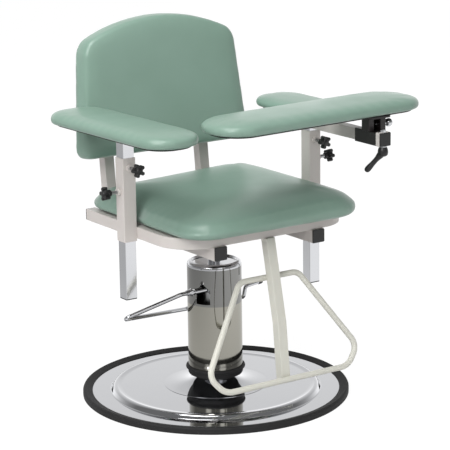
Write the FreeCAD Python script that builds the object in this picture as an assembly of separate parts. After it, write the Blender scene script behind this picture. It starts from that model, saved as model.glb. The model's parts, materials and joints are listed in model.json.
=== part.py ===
import FreeCAD, Part
import math
import os

os.makedirs("parts", exist_ok=True)

# Phlebotomy chair. Frame: millimetres, +Z up, floor at zero, origin on the column axis,
# the chair faces -Y, the right hand of the seated person is at -X.

V = FreeCAD.Vector
UP = V(0, 0, 1)

# Fits
run_fit = 0.05
slide_fit = 0.08
soft_gap = 0.3

# Base
base_r = 305.0
rim_height = 17.0
rim_width = 22.0
rim_edge = 4.5
rim_slope = 4.0
rim_lip = 9.0
plate_gauge = 4.5
plate_edge_z = 6.5
plate_step_in = 65.0
plate_step_rise = 8.5
plate_step_run = 9.0
plate_cone_r = 124.0
plate_cone_z = 20.5
neck_flare_r = 118.0
neck_waist_r = 44.0
neck_top_r = 50.0
neck_top_z = 45.0

# Column
ring_r = 68.0
ring_height = 21.0
ring_edge = 4.0
shroud_r = 62.2
shroud_wall = 2.0
shroud_top_z = 300.0
cap_top_z = 312.0
cap_shoulder = 8.0
cap_rim = 2.5
cap_recess = 4.0
cylinder_r = 38.0
cylinder_floor = 15.0
ram_r = 14.0
window_angle = 211.0
window_width = 34.0
window_low_z = 221.0
window_straight_z = 254.0
window_top_z = 269.0

# Pump lever
pivot_x = -37.0
pivot_y = -33.0
pivot_z = 256.0
pin_r = 4.0
eye_r = 9.0
eye_width = 12.0
lug_gap = 0.5
lug_gauge = 2.5
lug_reach = 9.0
hub_r = 6.5
hub_end_x = -98.0
collar_at = 48.0
collar_half = 7.0
collar_r = 9.0
rod_r = 4.8
rod_bend = 26.0
rod_small_bend = 9.0
rod_toe_bend = 8.0
elbow_x = -112.0
elbow_y = -34.0
toe_x = -249.0
toe_y = -2.0
toe_drop = 43.0
heel_x = -8.0
heel_y = 106.0
heel_drop = 84.0
round_x = 62.0
round_y = 92.0
round_drop = 66.0
rise_x = 79.0
rise_y = -2.0
rise_drop = 46.0
step_x = 84.0
step_y = -2.0
step_drop = 21.0
end_x = 128.0
end_y = 11.0
tip_length = 14.0
tip_r = 6.2

# Seat support
tube_x = 130.0
tube_width = 31.75
tube_height = 30.0
tube_wall = 2.0
tube_corner = 1.5
tube_top_z = 406.0
tube_front_out = 3.0
tube_rear_out = 85.0
cap_gauge = 3.0
mount_half_y = 60.0
mount_gauge = 8.0
mount_lift = 4.0
mount_hub_r = 23.0
mount_hub_low_z = 334.0

# Seat frame
rail = 25.4
rail_wall = 1.8
rail_corner = 1.4
frame_half = 233.0
frame_front_y = -216.0
frame_rear_y = 166.0
frame_bend = 84.0
cross_in = 48.0

# Back uprights
lean = 6.0
upright_foot_in = 31.5
upright_length = 350.0
upright_wall = 1.8

# Arm posts and tubes
post = 31.75
post_gap = 0.025
post_y = -33.7
post_low_z = 401.0
post_top_z = 586.0
post_corner = 1.4
arm = 27.9
arm_wall = 1.8
arm_corner = 1.3
arm_right_low_z = 270.5
arm_right_top_z = 631.0
arm_left_low_z = 226.5
arm_cap_gauge = 2.5
boss_r = 8.0
boss_height = 7.0
knob_front_z = 565.0
knob_side_right_z = 512.0
knob_side_left_z = 520.0
knob_stand = 30.0
knob_gauge = 13.0
knob_core_r = 8.5
knob_lobe_r = 4.3
knob_lobe_at = 10.8
knob_web = 7.0
knob_stem_r = 7.0
knob_stem = 7.0
knob_cap_r = 6.5
knob_cap = 2.0
screw_r = 4.0
screw_in_knob = 8.0

# Flip arm
bar = 25.4
bar_corner = 1.3
bar_low_z = 593.0
bar_end_y = -216.5
spindle_r = 10.0
spindle_end_y = -289.5
sleeve = 30.5
sleeve_corner = 2.0
sleeve_rear_y = -217.0
sleeve_front_y = -291.0
block_gauge = 12.0
block_cap_side = 30.0
block_cap_gauge = 3.0
clamp_r = 4.0
clamp_nut_r = 6.8
clamp_nut = 5.0
clamp_thread = 1.0
clamp_washer_r = 9.0
clamp_washer = 1.6
lever_hub_r = 11.5
lever_hub = 22.0
lever_hub_edge = 3.0
lever_r = 5.2
lever_end_r = 6.4
lever_out_x = -26.0
lever_out_y = 24.0
lever_out_drop = 38.0
lever_start_drop = 12.0
bracket_half_x = 24.0
bracket_depth = 26.0
bracket_y = -264.0
bracket_corner = 3.0
plunger_r = 3.0
plunger_z = 633.0
plunger_depth = 20.0
plunger_cover = 17.0
plunger_ball_r = 9.5
plunger_reach = 17.0
flip_plate_half_x = 30.0
flip_plate_half_y = 26.0
flip_plate = 4.0
flip_plate_corner = 8.0

# Pads
pad_plate_half_x = 40.0
pad_plate_half_y = 90.0
pad_plate = 4.0
pad_plate_corner = 8.0
board = 6.0
board_inset = 18.0
right_pad_out = 4.1
right_pad_y = -33.0
right_pad_half_x = 72.5
right_pad_half_y = 228.0
right_pad_turn = 2.3
right_pad_thick = 26.0
left_pad_out = 3.1
left_pad_y = 11.0
left_pad_half_x = 64.0
left_pad_half_y = 130.0
left_pad_thick = 22.0
flip_pad_y = -234.0
flip_pad_out = 139.8
pad_gap = 2.5
flip_pad_half_y = 80.0
flip_pad_turn = 3.4
flip_pad_thick = 25.5
pad_end_flat = 5.0

# Seat
seat_board = 12.0
seat_board_inset = 24.0
seat_board_front_in = 40.0
seat_side_in = 1.5
seat_front_out = 58.0
seat_rear_out = 26.0
seat_corner = 74.0
seat_crown = 126.0
seat_thick = 65.0

# Back
back_half_low = 226.0
back_half_top = 204.0
back_side = 262.0
back_height = 313.0
back_corner_low = 24.0
back_crown = 30.0
back_corner_top = 24.0
back_thick = 55.0
back_board = 10.0
back_board_inset = 12.0
upright_rise_to_back = 126.0

# Footrest
step_post = 22.2
step_post_corner = 1.2
step_top_in = 5.0
step_knee_out = 41.0
step_knee_z = 224.0
step_low_out = 13.5
step_low_z = 98.0
loop_r = 6.6
loop_top_z = 317.0
loop_low_z = 101.0
loop_top_half = 78.0
loop_wide_half = 199.0
loop_wide_z = 140.0
loop_low_half = 165.0
loop_top_bend = 27.0
loop_wide_bend = 30.0
loop_low_bend = 42.0

# Places that follow from the sizes above
plate_step_r = base_r - plate_step_in
tube_front_y = frame_front_y - tube_front_out
tube_rear_y = frame_rear_y + tube_rear_out
cross_y = frame_rear_y - cross_in
upright_foot_y = tube_rear_y - upright_foot_in
post_x = frame_half + post / 2 + post_gap
right_pad_x = -post_x - right_pad_out
left_pad_x = post_x + left_pad_out
flip_free_x = right_pad_x + right_pad_half_x + pad_gap
flip_far_x = post_x + flip_pad_out
flip_pad_half_x = (flip_far_x - flip_free_x) / 2
flip_pad_x = (flip_far_x + flip_free_x) / 2
seat_half_x = frame_half - seat_side_in
seat_front_y = frame_front_y - seat_front_out
seat_rear_y = frame_rear_y + seat_rear_out
seat_half_y = (seat_rear_y - seat_front_y) / 2
seat_y = (seat_rear_y + seat_front_y) / 2
step_top_y = frame_front_y + step_top_in
step_knee_y = step_top_y - step_knee_out
step_low_y = step_knee_y - step_low_out


def save(shape, name):
    shape.exportStep("parts/" + name + ".step")


def box(x0, x1, y0, y1, z0, z1):
    return Part.makeBox(x1 - x0, y1 - y0, z1 - z0, V(x0, y0, z0))


def rod(radius, start, end):
    way = end.sub(start)
    return Part.makeCylinder(radius, way.Length, start, way)


def rounded(half_x, half_y, corner, z=0.0):
    """Closed outline of four lines and four quarter arcs."""
    edges = []
    signs = ((1, 1), (-1, 1), (-1, -1), (1, -1))
    diagonal = corner * (1 - math.sqrt(0.5))
    ends = []
    for sx, sy in signs:
        side = V(sx * half_x, sy * (half_y - corner), z)
        front = V(sx * (half_x - corner), sy * half_y, z)
        mid = V(sx * (half_x - diagonal), sy * (half_y - diagonal), z)
        if sx * sy > 0:
            ends.append((side, mid, front))
        else:
            ends.append((front, mid, side))
    for i, (a, m, b) in enumerate(ends):
        edges.append(Part.Arc(a, m, b).toShape())
        edges.append(Part.makeLine(b, ends[(i + 1) % len(ends)][0]))
    return Part.Wire(edges)


def prism(half_x, half_y, corner, length):
    return Part.Face(rounded(half_x, half_y, corner)).extrude(V(0, 0, length))


def tube(width, height, corner, wall, length):
    outer = prism(width / 2, height / 2, corner, length)
    if wall <= 0:
        return outer
    inner_corner = max(corner - wall, corner / 4)
    inner = prism(width / 2 - wall, height / 2 - wall, inner_corner, length)
    return outer.cut(inner)


def along_y(shape, x, y, z):
    """Turn a prism that stands on its end so that it runs to +Y from the given point."""
    shape = shape.copy()
    shape.rotate(V(0, 0, 0), V(1, 0, 0), -90)
    shape.translate(V(x, y, z))
    return shape


def along_x(shape, x, y, z):
    shape = shape.copy()
    shape.rotate(V(0, 0, 0), V(0, 1, 0), 90)
    shape.translate(V(x, y, z))
    return shape


def moved(shape, x, y, z):
    shape = shape.copy()
    shape.translate(V(x, y, z))
    return shape


def mirrored(shape):
    return shape.mirror(V(0, 0, 0), V(1, 0, 0))


def bent(radius, points, bends, closed=False):
    """Round rod through the points with an arc at each inner point."""
    count = len(points)
    turns = range(count) if closed else range(1, count - 1)
    cut = {}
    pieces = []
    for i in turns:
        p = points[i]
        a = points[i - 1].sub(p).normalize()
        b = points[(i + 1) % count].sub(p).normalize()
        inside = a.getAngle(b)
        reach = bends[i] / math.tan(inside / 2)
        start = p.add(V(a).multiply(reach))
        end = p.add(V(b).multiply(reach))
        middle = V(a).add(b).normalize()
        centre = p.add(middle.multiply(bends[i] / math.sin(inside / 2)))
        axis = start.sub(centre).cross(end.sub(centre)).normalize()
        face = Part.Face(Part.Wire(Part.makeCircle(radius, start, V(a))))
        pieces.append(face.revolve(centre, axis, 180 - math.degrees(inside)))
        cut[i] = (start, end)
    last = count if closed else count - 1
    for i in range(last):
        j = (i + 1) % count
        start = cut[i][1] if i in cut else points[i]
        end = cut[j][0] if j in cut else points[j]
        pieces.append(rod(radius, start, end))
    return pieces[0].fuse(pieces[1:]).removeSplitter()


def ring(profile):
    points = [V(r, 0, z) for r, z in profile]
    face = Part.Face(Part.makePolygon(points + [points[0]]))
    return face.revolve(V(0, 0, 0), UP, 360)


# Share of the thickness and share of the crown width, bottom to top
crown_shares = ((0.0, 0.07), (0.1, 0.02), (0.25, 0.0), (0.5, 0.008), (0.68, 0.045),
                (0.82, 0.13),
                (0.92, 0.27), (0.98, 0.46), (1.0, 0.66))


# The same for the seat, which is drawn in below its widest line and more domed
seat_shares = ((0.0, 0.16), (0.1, 0.087), (0.2, 0.04), (0.33, 0.0), (0.45, 0.02), (0.58, 0.095),
               (0.7, 0.21), (0.82, 0.4), (0.92, 0.7), (1.0, 1.25))


def pad(half_x, half_y, corner, thick, shrink, shares=crown_shares, banded=False):
    """Upholstered pad with drawn-in lower edge and a crown, lying on the height zero."""
    wires = []
    for up, inward in shares:
        inset = inward * shrink
        inner = max(corner - inset, corner / 4)
        inner = min(inner, half_x - inset - pad_end_flat, half_y - inset - pad_end_flat)
        wires.append(rounded(half_x - inset, half_y - inset, inner, up * thick))
    return Part.makeLoft(wires, True, banded)


# Share of the flare and share of the neck's height, from the plate up
neck_shares = ((1.0, 0.05), (0.68, 0.1), (0.42, 0.21), (0.22, 0.38), (0.08, 0.58), (0.0, 0.8))

# Base
rim_inner = base_r - rim_width
plate_r = rim_inner + rim_lip
plate_top = plate_edge_z + plate_gauge
rim = ring(((plate_r, 0.0), (base_r - rim_edge / 2, 0.0), (base_r, rim_edge / 2),
            (base_r, rim_height - rim_edge), (base_r - rim_edge / 3, rim_height - rim_edge / 3),
            (base_r - rim_edge, rim_height), (rim_inner + rim_edge / 2, rim_height - rim_slope),
            (rim_inner, rim_height - rim_slope - rim_edge / 3), (rim_inner, plate_top),
            (plate_r, plate_top)))
save(rim, "base_rim")

step_in = plate_step_r - plate_step_run
plate = ring(((plate_r, plate_edge_z), (plate_r, plate_top), (plate_step_r, plate_top),
              (step_in, plate_top + plate_step_rise), (plate_cone_r, plate_cone_z),
              (cylinder_r, plate_cone_z), (cylinder_r, plate_cone_z - plate_gauge),
              (plate_cone_r, plate_cone_z - plate_gauge),
              (step_in, plate_top + plate_step_rise - plate_gauge),
              (plate_step_r, plate_edge_z)))
save(plate, "base_plate")
neck_height = neck_top_z - plate_cone_z
neck_line = [(neck_waist_r + (neck_flare_r - neck_waist_r) * out, plate_cone_z + neck_height * up)
             for out, up in neck_shares]
neck = ring([(cylinder_r, plate_cone_z), (neck_flare_r, plate_cone_z)] + neck_line
            + [(neck_top_r, neck_top_z), (cylinder_r, neck_top_z)])
save(neck, "base_neck")

# Column
ring_top_z = neck_top_z + ring_height
collar = ring(((cylinder_r, neck_top_z), (ring_r - ring_edge, neck_top_z),
               (ring_r, neck_top_z + ring_edge), (ring_r, ring_top_z - ring_edge),
               (ring_r - ring_edge / 3, ring_top_z - ring_edge / 3),
               (ring_r - ring_edge, ring_top_z), (cylinder_r, ring_top_z)))
save(collar, "shroud_ring")

shroud_in = shroud_r - shroud_wall
shell = Part.makeCylinder(shroud_r, shroud_top_z - ring_top_z, V(0, 0, ring_top_z))
shell = shell.cut(Part.makeCylinder(shroud_in, shroud_top_z - ring_top_z, V(0, 0, ring_top_z)))
half = window_width / 2
window = [V(0, -half, window_low_z), V(0, half, window_low_z), V(0, half, window_straight_z),
          V(0, 0, window_top_z), V(0, -half, window_straight_z)]
opening = Part.Face(Part.makePolygon(window + [window[0]])).extrude(V(shroud_r * 2, 0, 0))
opening.translate(V(cylinder_r, 0, 0))
opening.rotate(V(0, 0, 0), UP, window_angle)
other = mirrored(opening)
shell = shell.cut(opening).cut(other)
save(shell, "column_shroud")

shoulder = cap_shoulder * (1 - math.sqrt(0.5))
cap_in = shroud_r - cap_shoulder - cap_rim
hole = ram_r + run_fit
cap = Part.Face(Part.Wire([
    Part.makeLine(V(hole, 0, shroud_top_z), V(shroud_r, 0, shroud_top_z)),
    Part.makeLine(V(shroud_r, 0, shroud_top_z), V(shroud_r, 0, cap_top_z - cap_shoulder)),
    Part.Arc(V(shroud_r, 0, cap_top_z - cap_shoulder),
             V(shroud_r - shoulder, 0, cap_top_z - shoulder),
             V(shroud_r - cap_shoulder, 0, cap_top_z)).toShape(),
    Part.makeLine(V(shroud_r - cap_shoulder, 0, cap_top_z), V(cap_in, 0, cap_top_z)),
    Part.makeLine(V(cap_in, 0, cap_top_z), V(cap_in - cap_rim, 0, cap_top_z - cap_recess)),
    Part.makeLine(V(cap_in - cap_rim, 0, cap_top_z - cap_recess),
                  V(hole, 0, cap_top_z - cap_recess)),
    Part.makeLine(V(hole, 0, cap_top_z - cap_recess), V(hole, 0, shroud_top_z))]))
save(cap.revolve(V(0, 0, 0), UP, 360), "shroud_cap")

cylinder_low_z = plate_cone_z - plate_gauge
bore_z = cylinder_low_z + cylinder_floor
pump = Part.makeCylinder(cylinder_r, shroud_top_z - cylinder_low_z, V(0, 0, cylinder_low_z))
bore = Part.makeCylinder(ram_r + run_fit, shroud_top_z - bore_z, V(0, 0, bore_z))
save(pump.cut(bore), "pump_cylinder")

mount_low_z = tube_top_z - tube_height + mount_lift
ram = Part.makeCylinder(ram_r, mount_low_z - bore_z, V(0, 0, bore_z))
save(ram, "lift_ram")

# Lever bracket, two lugs and a pin on the pump cylinder
lug_y = eye_width / 2 + lug_gap
lugs = []
for side in (-1, 1):
    y0 = pivot_y + side * lug_y
    y1 = y0 + side * lug_gauge
    lug = box(pivot_x - lug_reach / 2, 0.0, min(y0, y1), max(y0, y1),
              pivot_z - lug_reach, pivot_z + lug_reach)
    lugs.append(lug)
barrel = Part.makeCylinder(cylinder_r, lug_reach * 2, V(0, 0, pivot_z - lug_reach))
foot = [lug.cut(barrel) for lug in lugs]
foot = [max(piece.Solids, key=lambda s: -s.CenterOfMass.x) for piece in foot]
pin_half = lug_y + lug_gauge
pin = rod(pin_r, V(pivot_x, pivot_y - pin_half, pivot_z), V(pivot_x, pivot_y + pin_half, pivot_z))
save(foot[0].fuse([foot[1], pin]).removeSplitter(), "lever_bracket")

# Pump lever
eye = rod(eye_r, V(pivot_x, pivot_y - eye_width / 2, pivot_z),
          V(pivot_x, pivot_y + eye_width / 2, pivot_z))
hub_y = pivot_y + (elbow_y - pivot_y) * (hub_end_x - pivot_x) / (elbow_x - pivot_x)
out = V(hub_end_x - pivot_x, hub_y - pivot_y, 0).normalize()


def from_pivot(reach):
    return V(pivot_x, pivot_y, pivot_z).add(V(out).multiply(reach))


hub_start = lug_reach / 2 + lug_gap
hub = eye.fuse([rod(hub_r, from_pivot(hub_start), V(hub_end_x, hub_y, pivot_z)),
                Part.makeCone(hub_r, collar_r, collar_half, from_pivot(collar_at - collar_half), out),
                Part.makeCone(collar_r, hub_r, collar_half, from_pivot(collar_at), out)])
hub = hub.cut(rod(pin_r + slide_fit, V(pivot_x, pivot_y - eye_width, pivot_z),
                  V(pivot_x, pivot_y + eye_width, pivot_z)))
save(hub.removeSplitter(), "pump_lever_hub")

path = [V(hub_end_x, hub_y, pivot_z), V(elbow_x, elbow_y, pivot_z),
        V(toe_x, toe_y, pivot_z - toe_drop), V(heel_x, heel_y, pivot_z - heel_drop),
        V(round_x, round_y, pivot_z - round_drop), V(rise_x, rise_y, pivot_z - rise_drop),
        V(step_x, step_y, pivot_z - step_drop), V(end_x, end_y, pivot_z - step_drop)]
bends = [0.0, rod_bend, rod_toe_bend, rod_bend, rod_bend, rod_small_bend,
         rod_small_bend, 0.0]
save(bent(rod_r, path, bends), "pump_lever_rod")
way = path[-1].sub(path[-2]).normalize()
grip = rod(tip_r, path[-1], path[-1].add(V(way).multiply(tip_length)))
save(grip, "pump_lever_tip")

# Swivel mount, a plate between the seat tubes with a socket that turns on the ram
mount_half_x = tube_x - tube_width / 2
mount = box(-mount_half_x, mount_half_x, -mount_half_y, mount_half_y,
            mount_low_z, mount_low_z + mount_gauge)
socket = Part.makeCylinder(mount_hub_r, mount_low_z - mount_hub_low_z, V(0, 0, mount_hub_low_z))
socket = socket.cut(Part.makeCylinder(ram_r + run_fit, mount_low_z - mount_hub_low_z,
                                      V(0, 0, mount_hub_low_z)))
save(mount.fuse(socket).removeSplitter(), "swivel_mount")

# Seat tubes run front to back
tube_mid_z = tube_top_z - tube_height / 2
tube_long = tube_rear_y - tube_front_y
long_tube = along_y(tube(tube_width, tube_height, tube_corner, tube_wall, tube_long),
                    tube_x, tube_front_y, tube_mid_z)
tube_cap = along_y(tube(tube_width, tube_height, tube_corner, 0.0, cap_gauge),
                   tube_x, tube_front_y - cap_gauge, tube_mid_z)
save(long_tube, "seat_tube_left")
save(mirrored(long_tube), "seat_tube_right")
save(tube_cap, "tube_cap_left")
save(mirrored(tube_cap), "tube_cap_right")

# Seat frame, one square tube bent to a U that is open at the rear
rail_mid_z = tube_top_z + rail / 2
rail_mid_x = frame_half - rail / 2
rail_mid_y = frame_front_y + rail / 2
bend_mid = frame_bend - rail / 2
side_long = frame_rear_y - (frame_front_y + frame_bend)
front_long = 2 * (frame_half - frame_bend)


def u_shape(width, corner, extra):
    side = along_y(prism(width / 2, width / 2, corner, side_long + extra),
                   rail_mid_x, frame_front_y + frame_bend, rail_mid_z)
    front = along_x(prism(width / 2, width / 2, corner, front_long),
                    -front_long / 2, rail_mid_y, rail_mid_z)
    face = rounded(width / 2, width / 2, corner)
    face.rotate(V(0, 0, 0), V(1, 0, 0), -90)
    face.translate(V(rail_mid_x, frame_front_y + frame_bend, rail_mid_z))
    centre = V(frame_half - frame_bend, frame_front_y + frame_bend, rail_mid_z)
    curve = Part.Face(face).revolve(centre, UP, -90)
    return side.fuse([front, curve, mirrored(side), mirrored(curve)])


frame = u_shape(rail, rail_corner, 0.0)
frame = frame.cut(u_shape(rail - 2 * rail_wall, rail_corner / 2, rail_wall))
save(frame, "seat_frame")
frame_cap = along_y(prism(rail / 2, rail / 2, rail_corner, cap_gauge),
                    rail_mid_x, frame_rear_y, rail_mid_z)
save(frame_cap, "frame_cap_left")
save(mirrored(frame_cap), "frame_cap_right")
cross_long = 2 * (frame_half - rail)
cross = along_x(tube(rail, rail, rail_corner, rail_wall, cross_long),
                -cross_long / 2, cross_y, rail_mid_z)
save(cross, "rear_cross_tube")

# Back uprights lean back
upright = tube(rail, rail, rail_corner, upright_wall, upright_length)
upright = upright.fuse(moved(prism(rail / 2, rail / 2, rail_corner, upright_wall),
                             0.0, 0.0, upright_length - upright_wall))
upright = moved(upright, 0.0, rail / 2, 0.0)
upright.rotate(V(0, 0, 0), V(1, 0, 0), -lean)
upright.translate(V(tube_x, upright_foot_y, tube_top_z))
upright = upright.cut(box(0.0, base_r, 0.0, base_r, 0.0, tube_top_z))
save(upright, "back_upright_left")
save(mirrored(upright), "back_upright_right")

# Arm posts with welded bosses for the clamp screws
bore_half = arm / 2 + slide_fit


def arm_post(side):
    x = side * post_x
    body = moved(prism(post / 2, post / 2, post_corner, post_top_z - post_low_z),
                 x, post_y, post_low_z)
    front = V(x, post_y - post / 2, knob_front_z)
    knob_side_z = knob_side_left_z if side > 0 else knob_side_right_z
    outer = V(x + side * post / 2, post_y, knob_side_z)
    body = body.fuse([rod(boss_r, front, front.add(V(0, -boss_height, 0))),
                      rod(boss_r, outer, outer.add(V(side * boss_height, 0, 0)))])
    hole = moved(prism(bore_half, bore_half, arm_corner, post_top_z - post_low_z),
                 x, post_y, post_low_z)
    body = body.cut(hole)
    for start, way in ((V(x, post_y, knob_front_z), V(0, -post, 0)),
                       (V(x, post_y, knob_side_z), V(side * post, 0, 0))):
        body = body.cut(rod(screw_r + run_fit, start, start.add(way)))
    return body


save(arm_post(-1), "arm_post_right")
save(arm_post(1), "arm_post_left")

arm_left_top_z = bar_low_z
for side, name, low_z, top_z in ((-1, "right", arm_right_low_z, arm_right_top_z),
                                 (1, "left", arm_left_low_z, arm_left_top_z)):
    inner = tube(arm, arm, arm_corner, arm_wall, top_z - low_z - arm_cap_gauge)
    save(moved(inner, side * post_x, post_y, low_z + arm_cap_gauge), "arm_tube_" + name)
    plug = prism(arm / 2, arm / 2, arm_corner, arm_cap_gauge)
    save(moved(plug, side * post_x, post_y, low_z), "arm_tube_cap_" + name)

# Star knobs on clamp screws
tip_at = arm / 2 + slide_fit
star = Part.makeCylinder(knob_core_r, knob_gauge)
lobes = []
for i in range(5):
    turn = math.radians(90 + i * 72)
    cx = knob_lobe_at * math.cos(turn)
    cy = knob_lobe_at * math.sin(turn)
    web = box(0.0, knob_lobe_at, -knob_web / 2, knob_web / 2, 0.0, knob_gauge)
    web.rotate(V(0, 0, 0), UP, math.degrees(turn))
    lobes += [Part.makeCylinder(knob_lobe_r, knob_gauge, V(cx, cy, 0)), web]
stem = Part.makeCylinder(knob_stem_r, knob_stem, V(0, 0, -knob_stem))
top = Part.makeCone(knob_cap_r, knob_cap_r - knob_cap, knob_cap, V(0, 0, knob_gauge))
star = star.fuse(lobes + [stem, top]).removeSplitter()
star = star.cut(Part.makeCylinder(screw_r, screw_in_knob + knob_stem, V(0, 0, -knob_stem)))
star.translate(V(0, 0, post / 2 + knob_stand))
screw = Part.makeCylinder(screw_r, post / 2 + knob_stand + screw_in_knob - tip_at,
                          V(0, 0, tip_at))
places = (("front_right", -1, V(1, 0, 0), 90, knob_front_z),
          ("side_right", -1, V(0, 1, 0), -90, knob_side_right_z),
          ("front_left", 1, V(1, 0, 0), 90, knob_front_z),
          ("side_left", 1, V(0, 1, 0), 90, knob_side_left_z))
for name, side, axis, turn, z in places:
    for shape, kind in ((star, "knob_"), (screw, "knob_screw_")):
        copy = shape.copy()
        copy.rotate(V(0, 0, 0), axis, turn)
        copy.translate(V(side * post_x, post_y, z))
        save(copy, kind + name)

# Right arm pad
plate_right = moved(prism(pad_plate_half_x, pad_plate_half_y, pad_plate_corner, pad_plate),
                    -post_x, right_pad_y, arm_right_top_z)
save(plate_right, "pad_plate_right")


def board_and_pad(half_x, half_y, thick, low_z, x, y, turn, name):
    narrow = min(half_x, half_y)
    corner = narrow - pad_end_flat
    wood = prism(half_x - board_inset, half_y - board_inset, corner - board_inset, board)
    soft = pad(half_x, half_y, corner, thick - soft_gap, narrow)
    for shape, kind, z in ((wood, "pad_board_", low_z), (soft, "pad_cushion_", low_z + board)):
        shape = moved(shape, 0.0, 0.0, z)
        shape.rotate(V(0, 0, 0), UP, turn)
        shape.translate(V(x, y, 0))
        save(shape, kind + name)


board_and_pad(right_pad_half_x, right_pad_half_y, right_pad_thick, arm_right_top_z + pad_plate,
              right_pad_x, right_pad_y, right_pad_turn, "right")

# Left arm: bar on the arm tube, short pad on the bar
bar_mid_z = bar_low_z + bar / 2
bar_rear_y = post_y + arm / 2
beam = along_y(prism(bar / 2, bar / 2, bar_corner, bar_rear_y - bar_end_y),
               post_x, bar_end_y, bar_mid_z)
spindle = rod(spindle_r, V(post_x, bar_end_y, bar_mid_z), V(post_x, spindle_end_y, bar_mid_z))
save(beam.fuse(spindle), "flip_bar")
plate_left = moved(prism(pad_plate_half_x, pad_plate_half_y, pad_plate_corner, pad_plate),
                   left_pad_x, left_pad_y, bar_low_z + bar)
save(plate_left, "pad_plate_left")
board_and_pad(left_pad_half_x, left_pad_half_y, left_pad_thick, bar_low_z + bar + pad_plate,
              left_pad_x, left_pad_y, 0.0, "left")

# Sleeve that turns on the spindle, clamp block with its bolt
sleeve_long = sleeve_rear_y - sleeve_front_y
cover = along_y(prism(sleeve / 2, sleeve / 2, sleeve_corner, sleeve_long),
                post_x, sleeve_front_y, bar_mid_z)
cover = cover.cut(rod(spindle_r + run_fit, V(post_x, sleeve_rear_y, bar_mid_z),
                      V(post_x, sleeve_front_y, bar_mid_z)))
save(cover, "flip_sleeve")
block_front_y = sleeve_front_y - block_gauge
block = along_y(prism(sleeve / 2, sleeve / 2, sleeve_corner, block_gauge),
                post_x, block_front_y, bar_mid_z)
clamp_y = sleeve_front_y - block_gauge / 2
block_low_z = bar_mid_z - sleeve / 2
block_top_z = bar_mid_z + sleeve / 2
block = block.cut(rod(clamp_r, V(post_x, clamp_y, block_low_z), V(post_x, clamp_y, block_top_z)))
save(block, "clamp_block")
front_cap = along_y(prism(block_cap_side / 2, block_cap_side / 2, sleeve_corner, block_cap_gauge),
                    post_x, block_front_y - block_cap_gauge, bar_mid_z)
save(front_cap, "clamp_cap")
washer_low_z = block_low_z - clamp_washer
hub_low_z = washer_low_z - lever_hub
bolt = rod(clamp_r, V(post_x, clamp_y, hub_low_z + lever_hub_edge),
           V(post_x, clamp_y, block_top_z + clamp_nut + clamp_thread))
sides = []
for i in range(6):
    turn = math.radians(60 * i)
    sides.append(V(post_x + clamp_nut_r * math.cos(turn), clamp_y + clamp_nut_r * math.sin(turn),
                   block_top_z))
nut = Part.Face(Part.makePolygon(sides + [sides[0]])).extrude(V(0, 0, clamp_nut))
washer = Part.makeCylinder(clamp_washer_r, clamp_washer, V(post_x, clamp_y, washer_low_z))
save(bolt.fuse([nut, washer]), "clamp_bolt")

# Clamp lever below the block
hub_top_z = washer_low_z - run_fit
handle = Part.makeCylinder(lever_hub_r, hub_top_z - hub_low_z, V(post_x, clamp_y, hub_low_z))
start = V(post_x, clamp_y, washer_low_z - lever_start_drop)
end = start.add(V(lever_out_x, lever_out_y, -lever_out_drop))
handle = handle.fuse([rod(lever_r, start, end), Part.makeSphere(lever_end_r, end)])
handle = handle.cut(rod(clamp_r + run_fit, V(post_x, clamp_y, hub_low_z + lever_hub_edge - run_fit),
                        V(post_x, clamp_y, hub_top_z)))
save(handle, "clamp_lever")

# Bracket, lock plunger, plate, board and pad of the flip arm
bracket_top_z = plunger_z + plunger_cover
bracket_long = bracket_top_z - block_top_z
bracket = moved(prism(bracket_half_x, bracket_depth / 2, bracket_corner, bracket_long),
                post_x, bracket_y, block_top_z)
plunger_in = V(post_x + bracket_half_x - plunger_depth, bracket_y, plunger_z)
plunger_out = V(post_x + bracket_half_x + plunger_reach, bracket_y, plunger_z)
bracket = bracket.cut(rod(plunger_r + run_fit, plunger_in, plunger_out))
save(bracket, "pad_bracket")
plunger = rod(plunger_r, plunger_in, plunger_out)
plunger = plunger.fuse(Part.makeSphere(plunger_ball_r, plunger_out))
save(plunger, "lock_plunger")
lift_plate = moved(prism(flip_plate_half_x, flip_plate_half_y, flip_plate_corner, flip_plate),
                   post_x, bracket_y, bracket_top_z)
save(lift_plate, "flip_plate")
board_and_pad(flip_pad_half_x, flip_pad_half_y, flip_pad_thick, bracket_top_z + flip_plate,
              flip_pad_x, flip_pad_y, flip_pad_turn, "flip")

# Seat
frame_top_z = tube_top_z + rail
board_front_y = seat_front_y + seat_board_front_in
board_rear_y = seat_rear_y - seat_board_inset
board_y = (board_rear_y + board_front_y) / 2
board_half_x = seat_half_x - seat_board_inset
board_half_y = (board_rear_y - board_front_y) / 2
board_corner = seat_corner - seat_board_inset
wood = prism(board_half_x, board_half_y, board_corner, seat_board)
save(moved(wood, 0.0, board_y, frame_top_z), "seat_board")
seat = pad(seat_half_x, seat_half_y, seat_corner, seat_thick, seat_crown, seat_shares, True)
seat = moved(seat, 0.0, seat_y, frame_top_z + soft_gap)
pocket = prism(board_half_x + soft_gap, board_half_y + soft_gap, board_corner + soft_gap,
               seat_board + soft_gap)
save(seat.cut(moved(pocket, 0.0, board_y, frame_top_z)), "seat_cushion")


# Back, drawn upright on the height zero and then leant back
arch_in_share = 0.8
arch_up_share = 0.3
bend_in_share = 0.17
bend_down_share = 0.22


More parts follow.
